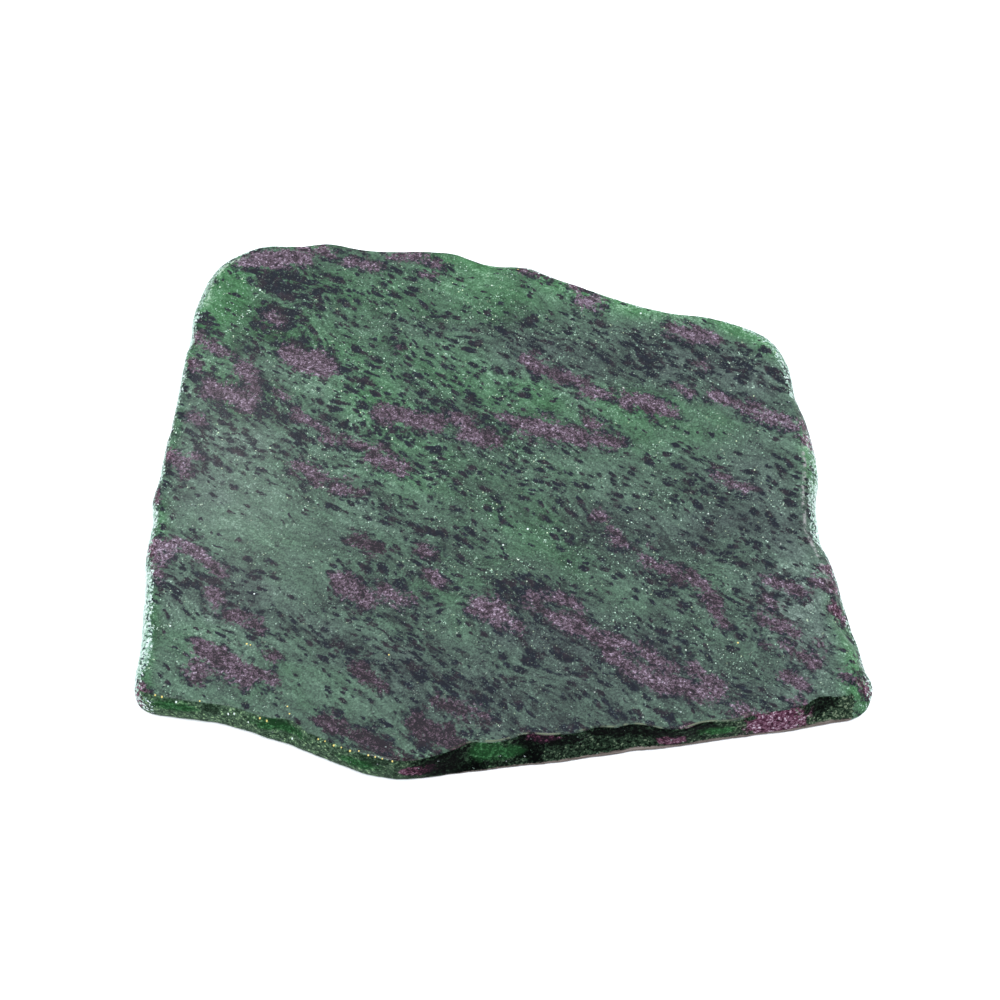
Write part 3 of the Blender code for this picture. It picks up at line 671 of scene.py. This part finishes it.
class Weave:
    """Adds linked shader nodes to one material's node tree."""

    def __init__(self, tree):
        self.tree = tree

    def add(self, kind, **settings):
        made = self.tree.nodes.new(kind)
        for key, value in settings.items():
            setattr(made, key, value)
        return made

    def feed(self, socket, value):
        """Links a socket to another one, or sets its value."""
        if isinstance(value, bpy.types.NodeSocket):
            self.tree.links.new(value, socket)
        else:
            socket.default_value = value

    def read(self, name):
        return self.add("ShaderNodeAttribute", attribute_name=name).outputs["Fac"]

    def math(self, operation, a, b):
        made = self.add("ShaderNodeMath", operation=operation)
        self.feed(made.inputs[0], a)
        self.feed(made.inputs[1], b)
        return made.outputs[0]

    def times(self, a, b):
        return self.math("MULTIPLY", a, b)

    def less(self, a, b):
        return self.math("SUBTRACT", a, b)

    def most(self, a, b):
        return self.math("MAXIMUM", a, b)

    def total(self, *values):
        """The sum of all the values."""
        result = values[0]
        for value in values[1:]:
            result = self.math("ADD", result, value)
        return result

    def vector(self, operation, a, b):
        made = self.add("ShaderNodeVectorMath", operation=operation)
        self.feed(made.inputs[0], a)
        self.feed(made.inputs["Scale" if operation == "SCALE" else 1], b)
        return made.outputs[0]

    def turned(self, vector, degrees):
        made = self.add("ShaderNodeVectorRotate", rotation_type="Z_AXIS")
        self.feed(made.inputs["Vector"], vector)
        made.inputs["Angle"].default_value = math.radians(degrees)
        return made.outputs[0]

    def noise_node(self, vector, scale, detail, roughness):
        made = self.add("ShaderNodeTexNoise")
        self.feed(made.inputs["Vector"], vector)
        made.inputs["Scale"].default_value = scale
        made.inputs["Detail"].default_value = detail
        made.inputs["Roughness"].default_value = roughness
        return made

    def noise(self, vector, scale, detail=3.0, roughness=0.55):
        """Smooth noise between 0 and 1."""
        return self.noise_node(vector, scale, detail, roughness).outputs[0]

    def noise_vector(self, vector, scale):
        """Smooth noise in three directions, around 0."""
        made = self.noise_node(vector, scale, 1.0, 0.5)
        return self.vector("SUBTRACT", made.outputs["Color"], (0.5, 0.5, 0.5))

    def grains(self, vector, scale, randomness=1.0):
        """Two random numbers for each grain of a packing, and the distance from its middle."""
        made = self.add("ShaderNodeTexVoronoi")
        self.feed(made.inputs["Vector"], vector)
        made.inputs["Scale"].default_value = scale
        made.inputs["Randomness"].default_value = randomness
        split = self.add("ShaderNodeSeparateColor")
        self.feed(split.inputs[0], made.outputs["Color"])
        return split.outputs[0], split.outputs[1], made.outputs["Distance"]

    def flakes(self, vector, scale, share, radius):
        """Above 0 inside blobs that a share of the places in a scattered grid hold."""
        chance, girth, distance = self.grains(vector, scale, 0.8)
        held = self.step(self.less(share, chance), -0.03, 0.03)
        size = self.line(girth, 0.0, 1.0, radius * 0.5, radius)
        return self.less(self.times(held, size), distance)

    def remap(self, kind, value, *ends):
        made = self.add("ShaderNodeMapRange", interpolation_type=kind)
        self.feed(made.inputs["Value"], value)
        for name, end in zip(("From Min", "From Max", "To Min", "To Max"), ends):
            self.feed(made.inputs[name], end)
        return made.outputs[0]

    def step(self, value, low, high, to_low=0.0, to_high=1.0):
        """Rises smoothly from one level to another as value passes from low to high."""
        return self.remap("SMOOTHSTEP", value, low, high, to_low, to_high)

    def line(self, value, low, high, to_low, to_high):
        """Rises evenly from one level to another as value passes from low to high."""
        return self.remap("LINEAR", value, low, high, to_low, to_high)

    def swing(self, value, span):
        """A value between 0 and 1 turned into a change of up to half the span each way."""
        return self.line(value, 0.0, 1.0, -span / 2, span / 2)

    def mix(self, share, a, b):
        """Colour a with a share of colour b mixed in."""
        made = self.add("ShaderNodeMix", data_type="RGBA")
        self.feed(made.inputs["Factor"], share)
        colors = [s for s in made.inputs if s.type == "RGBA"]
        self.feed(colors[0], a)
        self.feed(colors[1], b)
        return [s for s in made.outputs if s.type == "RGBA"][0]

    def ramp(self, value, stops):
        """A colour that runs through the stops as value goes from 0 to 1."""
        made = self.add("ShaderNodeValToRGB")
        self.feed(made.inputs[0], value)
        ends = made.color_ramp.elements
        while len(ends) < len(stops):
            ends.new(0.5)
        for end, (share, color) in zip(ends, stops):
            end.position = share
        for end, (share, color) in zip(ends, stops):
            end.color = (*color, 1.0)
        return made.outputs[0]

    def glint_points(self, vector, places):
        """1 at the painted glints, bright points of the stone, 0 elsewhere."""
        lit = None
        for x, y, z, radius in places:
            made = self.add("ShaderNodeVectorMath", operation="DISTANCE")
            self.feed(made.inputs[0], vector)
            made.inputs[1].default_value = (x, y, z * GLINT_SQUASH)
            near = self.step(made.outputs["Value"], radius * 1.05, radius * 0.5)
            lit = near if lit is None else self.most(lit, near)
        return lit


class Rock:
    """Where the pattern of the stone is read, in millimetres, and the grains found there.

    place is the position, along is turned into the foliation and bent a little, flaky
    is also drawn out along it, and frayed has ragged edges too.
    """

    def __init__(self, w):
        self.place = w.vector("SCALE", w.add("ShaderNodeTexCoord").outputs["Object"], 1 / MM)
        bend = w.vector("SCALE", w.noise_vector(self.place, 0.09), 5.0)
        self.along = w.turned(w.vector("ADD", self.place, bend), FOLIATION)
        self.flaky = w.vector("MULTIPLY", self.along, (0.45, 1.0, 0.8))
        fray = w.vector("SCALE", w.noise_vector(self.place, 1.3), 0.42)
        self.frayed = w.vector("ADD", self.flaky, fray)
        self.patch = w.noise(self.flaky, 0.75, 2.5, 0.6)

        self.grain_a, self.grain_b, grain_gap = w.grains(self.place, 4.2)
        self.speck_a, self.speck_b, speck_gap = w.grains(self.place, 2.9)
        self.lump_a, self.lump_b = w.grains(self.frayed, 1.9)[:2]
        self.facet = w.grains(self.place, 5.6)[0]

        # Sparkling grains, large and small, and their colour: painted glints, where cleavage faces
        # would catch the light. The small ones also fleck the front wall paler.
        glint = w.times(w.step(self.speck_b, 0.90, 0.98), w.step(speck_gap, 0.52, 0.28))
        self.fleck_glint = w.times(w.step(self.grain_b, 0.82, 0.96), w.step(grain_gap, 0.62, 0.34))
        self.sparkle = w.most(glint, w.times(self.fleck_glint, 0.85))
        self.spark = w.ramp(self.speck_a, SPARKS)

        # The tone of each grain, around 0, with streaks along the foliation.
        streak = w.noise(w.vector("MULTIPLY", self.along, (0.25, 1.0, 0.8)), 1.3)
        self.fine = w.total(w.swing(self.grain_a, 0.38), w.swing(self.lump_a, 0.20),
                            w.swing(streak, 0.75), w.swing(w.noise(self.place, 3.0, 2.0), 0.75))


def flake_shares(w, rock):
    """How much black flake and how much of the fainter smudges each place holds.

    The flakes are blobs of three sizes drawn out along the foliation. There are more of
    them, and they merge, where the rock is rich in them.
    """
    band = w.noise(w.vector("MULTIPLY", rock.along, (0.35, 1.0, 0.8)), 0.30, 2.0)
    rich = w.total(w.read("dark"), w.line(band, 0.3, 0.7, -0.18, 0.18))
    big = w.flakes(rock.frayed, 0.60, w.line(rich, 0.1, 1.0, 0.0, 0.95), 0.52)
    medium = w.flakes(rock.frayed, 0.88, w.line(rich, 0.0, 1.0, 0.06, 0.90), 0.50)
    small = w.flakes(rock.frayed, 1.40, w.line(rich, 0.0, 1.0, 0.10, 0.60), 0.46)
    spread = w.less(rock.patch, w.line(rich, 0.0, 1.0, 0.80, 0.46))
    field = w.most(w.most(big, medium), small)
    field = w.most(field, w.times(spread, 3.0))
    crumbs = w.swing(w.noise(rock.place, 2.6, 2.0), 0.5)
    black = w.step(w.total(field, crumbs), -0.14, 0.14)
    faint = w.total(w.noise(rock.flaky, 0.42), w.swing(rich, 0.25))
    return black, w.step(faint, 0.48, 0.66)


def ruby_shares(w, rock):
    """How much ruby each place holds, and how much of the black rind round its patches."""
    ragged = w.swing(w.noise(rock.flaky, 0.45), 5.0)
    nibbled = w.swing(w.noise(rock.place, 1.7, 2.0), 4.0)
    inside = w.total(w.read("ruby"), ragged, nibbled)
    rind = w.times(w.step(inside, -1.8, -0.2), w.step(rock.patch, 0.44, 0.58))
    return w.step(inside, -0.30, 0.90), rind


def ground_color(w, rock, smudge):
    """Green zoisite, purer or greyer from zone to zone, with sparkling grains in places."""
    fresh = w.total(w.read("fresh"), w.swing(w.noise(rock.flaky, 0.20), 1.3))
    tone = w.total(rock.fine, w.swing(w.noise(rock.flaky, 0.14), 0.9), w.read("tone"))
    tone = w.less(tone, w.times(smudge, 0.20))
    grey = w.line(fresh, 0.0, -0.8, 0.0, 1.0)
    pure = w.line(fresh, 0.0, 1.0, 0.0, 1.0)
    green = w.mix(grey, w.ramp(tone, GREEN), w.ramp(tone, GREY))
    green = w.mix(pure, green, w.ramp(tone, VIVID))
    sparse = w.times(w.step(w.noise(rock.flaky, 0.34), 0.38, 0.60, 0.10, 1.0),
                     w.step(w.noise(rock.place, 0.85, 2.0), 0.42, 0.60, 0.15, 1.0))
    sparse = w.times(sparse, w.line(w.read("glint"), 0.0, 1.0, 0.1, 1.9))
    return w.mix(w.times(rock.sparkle, sparse), green, rock.spark)


def flake_color(w, rock):
    """Hornblende, bluish or brownish black, with a faint sparkle."""
    tone = w.total(rock.fine, 0.42)
    brown = w.step(w.noise(rock.place, 0.5, 2.0), 0.48, 0.62)
    flake = w.mix(brown, w.ramp(tone, FLAKE), w.ramp(tone, BROWN_FLAKE))
    return w.mix(w.times(rock.sparkle, 0.15), flake, rock.spark)


def ruby_color(w, rock):
    """Mauve grains between darker and paler ones, crimson where the patch meets the rim."""
    holes = w.step(w.noise(rock.frayed, 0.9), 0.47, 0.66, 0.0, 0.42)
    clot = w.swing(w.noise(rock.place, 1.5, 2.0), 1.25)
    tone = w.total(w.swing(rock.facet, 0.62), w.swing(rock.grain_a, 0.40),
                   w.swing(rock.speck_a, 0.18), clot, w.read("ruby_tone"))
    tone = w.less(tone, holes)
    wall = w.most(w.read("wall"), w.times(w.read("rim"), 0.8))
    return w.mix(wall, w.ramp(tone, RUBY_RED), w.ramp(tone, CRIMSON))


def broken_color(w, rock):
    """The front wall: shaded or olive green, with patches of its own and painted shade under the
    crest, above a painted reflection along its foot.
    """
    rough = w.total(w.swing(rock.speck_a, 0.45), w.swing(rock.grain_a, 0.50),
                    w.times(rock.fleck_glint, 0.16), w.swing(w.noise(rock.place, 1.5), 1.5))
    # Painted shade: darker patches where the wall lies in shadow under the crest.
    dark = w.total(w.read("wall_shade"), w.swing(w.noise(rock.place, 0.55), 2.4))
    low = w.step(dark, -0.6, 0.3, 0.0, 0.42)
    level = w.less(w.total(rough, w.read("wall_tone")), low)
    olive = w.read("olive")
    color = w.mix(olive, w.ramp(level, SHADED), w.ramp(level, OLIVE))
    vivid = w.total(w.read("wall_vivid"), w.swing(w.noise(rock.place, 0.7), 1.6))
    vivid_level = w.less(level, w.line(olive, 0.0, 1.0, 0.41, 0.33))
    color = w.mix(w.step(vivid, -0.2, 0.5), color, w.ramp(vivid_level, VIVID))
    red = w.total(w.read("wall_ruby"), w.swing(w.noise(rock.place, 0.9), 1.6))
    red_level = w.less(level, 0.15)
    color = w.mix(w.step(red, -0.1, 0.2), color, w.ramp(red_level, CRIMSON))
    # Painted reflection of the floor along the foot of the wall.
    foot_reflection = w.total(w.read("foot_reflection"), w.swing(rock.lump_b, 0.3), w.swing(rock.grain_a, 0.3))
    layers = w.noise(w.vector("MULTIPLY", rock.place, (0.22, 0.22, 5.0)), 1.3, 2.0)
    return w.mix(w.step(foot_reflection, 0.3, 0.8), color, w.ramp(layers, FOOT_REFLECTION))


def with_edge_highlights(w, rock, color):
    """The colour with painted highlight lines drawn over it along the front crest, the right ridge
    and the facet edge in the back left corner.
    """
    broken = w.step(w.noise(rock.place, 0.45), 0.42, 0.56)
    finer_gaps = w.step(w.noise(rock.place, 1.2), 0.44, 0.58)
    lines = (("crest", broken, CREST_HIGHLIGHT), ("ridge", finer_gaps, RIDGE_HIGHLIGHT), ("facet_highlight", finer_gaps, FACET_HIGHLIGHT))
    for name, gaps, line_color in lines:
        color = w.mix(w.times(w.read(name), gaps), color, line_color)
    return color


def with_rim_highlight(w, rock, color):
    """The colour with the painted rim highlight, pale grains palest at the outer edge, and dark
    pits between them.
    """
    share = w.read("rim_highlight")
    chance = w.total(w.times(rock.speck_a, 0.7), w.times(rock.grain_b, 0.3))
    rim_highlight = w.step(w.less(share, chance), -0.06, 0.06)
    pale = w.total(w.swing(rock.speck_b, 0.6), w.swing(rock.grain_a, 0.4), 0.42,
                   w.times(w.read("outer"), 0.25))
    color = w.mix(rim_highlight, color, w.ramp(pale, RIM_HIGHLIGHT_COLORS))
    inner = w.line(w.read("outer"), 0.15, 0.6, 1.0, 0.0)
    pits = w.times(w.step(share, 0.30, 0.55), w.step(w.noise(rock.place, 1.7, 2.0), 0.54, 0.63))
    return w.mix(w.times(pits, inner), color, PIT)


def stone_material(finish):
    """Green zoisite with black hornblende flakes and granular ruby patches.

    The finish is "polished" for the sawn faces, "tumbled" for the rounded rim and
    "broken" for the rough wall along the front, which is deeper in colour, partly as painted
    shade.
    """
    smoothest, roughest, reflection, relief_strength = FINISHES[finish]
    material = bpy.data.materials.new(finish + "_stone")
    material.use_nodes = True
    tree = material.node_tree
    tree.nodes.clear()
    w = Weave(tree)
    out = w.add("ShaderNodeOutputMaterial")
    shader = w.add("ShaderNodeBsdfPrincipled")
    tree.links.new(shader.outputs[0], out.inputs[0])

    rock = Rock(w)
    if finish == "broken":
        color = broken_color(w, rock)
    else:
        black, smudge = flake_shares(w, rock)
        ruby, rind = ruby_shares(w, rock)
        black = w.most(black, rind)
        color = w.mix(black, ground_color(w, rock, smudge), flake_color(w, rock))
        color = w.mix(ruby, color, ruby_color(w, rock))
    # Painted highlight lines, then the painted rim highlight.
    color = with_rim_highlight(w, rock, with_edge_highlights(w, rock, color))
    # Painted glints, gold and pale.
    squashed = w.vector("MULTIPLY", rock.place, (1.0, 1.0, GLINT_SQUASH))
    color = w.mix(w.glint_points(squashed, GOLD_GLINTS), color, GOLD_GLINT)
    color = w.mix(w.glint_points(squashed, PALE_GLINTS), color, PALE_GLINT)

    w.feed(shader.inputs["Base Color"], color)
    w.feed(shader.inputs["Roughness"], w.line(rock.grain_b, 0.0, 1.0, smoothest, roughest))
    shader.inputs["IOR"].default_value = STONE_IOR
    shader.inputs["Specular IOR Level"].default_value = reflection

    height = w.total(w.times(rock.lump_a, 0.5), w.noise(rock.place, 1.1, 2.0))
    relief = w.add("ShaderNodeBump")
    w.feed(relief.inputs["Height"], height)
    relief.inputs["Strength"].default_value = relief_strength
    relief.inputs["Distance"].default_value = 0.15 * MM
    w.feed(shader.inputs["Normal"], relief.outputs[0])
    return material


def face_finishes(mesh):
    """0 for the polished faces, 1 for the tumbled rim, 2 for the broken front wall."""
    normals = mesh_vectors(mesh.polygons, "normal")
    x, y = mesh_vectors(mesh.polygons, "center").T[:2] / MM
    steep = np.abs(normals[:, 2]) < 0.97
    front = (normals[:, 1] < -0.45) & (y < -35) & (x < 56)
    return np.where(steep & front, 2, np.where(steep, 1, 0)).astype(np.int32)


def soft_light(name, place, width, height, radiance):
    """A white rectangular softbox of a given brightness, turned to face the stone."""
    data = bpy.data.lights.new(name, "AREA")
    data.shape = "RECTANGLE"
    data.size = width
    data.size_y = height
    data.energy = radiance * math.pi * width * height
    light = bpy.data.objects.new(name, data)
    light.location = place
    light.rotation_mode = "QUATERNION"
    light.rotation_quaternion = (Vector() - Vector(place)).to_track_quat("-Z", "Y")
    bpy.context.scene.collection.objects.link(light)


def build_floor():
    """A wide pale sheet under the stone."""
    data = bpy.data.meshes.new("floor")
    corners = [(-1, -1), (1, -1), (1, 1), (-1, 1)]
    data.from_pydata([(x * FLOOR_HALF, y * FLOOR_HALF, 0) for x, y in corners],
                     [], [(0, 1, 2, 3)])
    floor = bpy.data.objects.new("floor", data)
    material = bpy.data.materials.new("pale_sheet")
    material.use_nodes = True
    shader = material.node_tree.nodes["Principled BSDF"]
    shader.inputs["Base Color"].default_value = (0.95, 0.95, 0.95, 1.0)
    shader.inputs["Roughness"].default_value = 0.9
    shader.inputs["Specular IOR Level"].default_value = 0.0
    data.materials.append(material)
    bpy.context.scene.collection.objects.link(floor)


def build_studio():
    """Soft light from above and both sides, and the camera in front of and above the slab."""
    world = bpy.data.worlds.new("studio")
    world.use_nodes = True
    background = world.node_tree.nodes["Background"]
    background.inputs["Color"].default_value = WORLD_COLOR
    background.inputs["Strength"].default_value = WORLD_STRENGTH
    scene = bpy.context.scene
    scene.world = world
    scene.view_settings.view_transform = "Standard"
    scene.view_settings.look = "None"
    for softbox in SOFTBOXES:
        soft_light(*softbox)
    data = bpy.data.cameras.new("camera")
    data.lens = CAMERA_LENS
    data.sensor_width = CAMERA_SENSOR
    data.clip_start = 0.01
    data.clip_end = 20.0
    camera = bpy.data.objects.new("camera", data)
    camera.location = CAMERA_PLACE
    camera.rotation_euler = (math.radians(90.0 - CAMERA_ELEVATION), 0.0, 0.0)
    scene.collection.objects.link(camera)
    scene.camera = camera


mesh, points = build_slab(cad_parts["zoisite_slab"])
store_pattern(mesh, points)
slab = bpy.data.objects.new("polished_slab", mesh)
bpy.context.scene.collection.objects.link(slab)
for finish in ("polished", "tumbled", "broken"):
    mesh.materials.append(stone_material(finish))
mesh.polygons.foreach_set("material_index", face_finishes(mesh))
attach(slab, "root")
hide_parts("zoisite_slab")
build_floor()
build_studio()
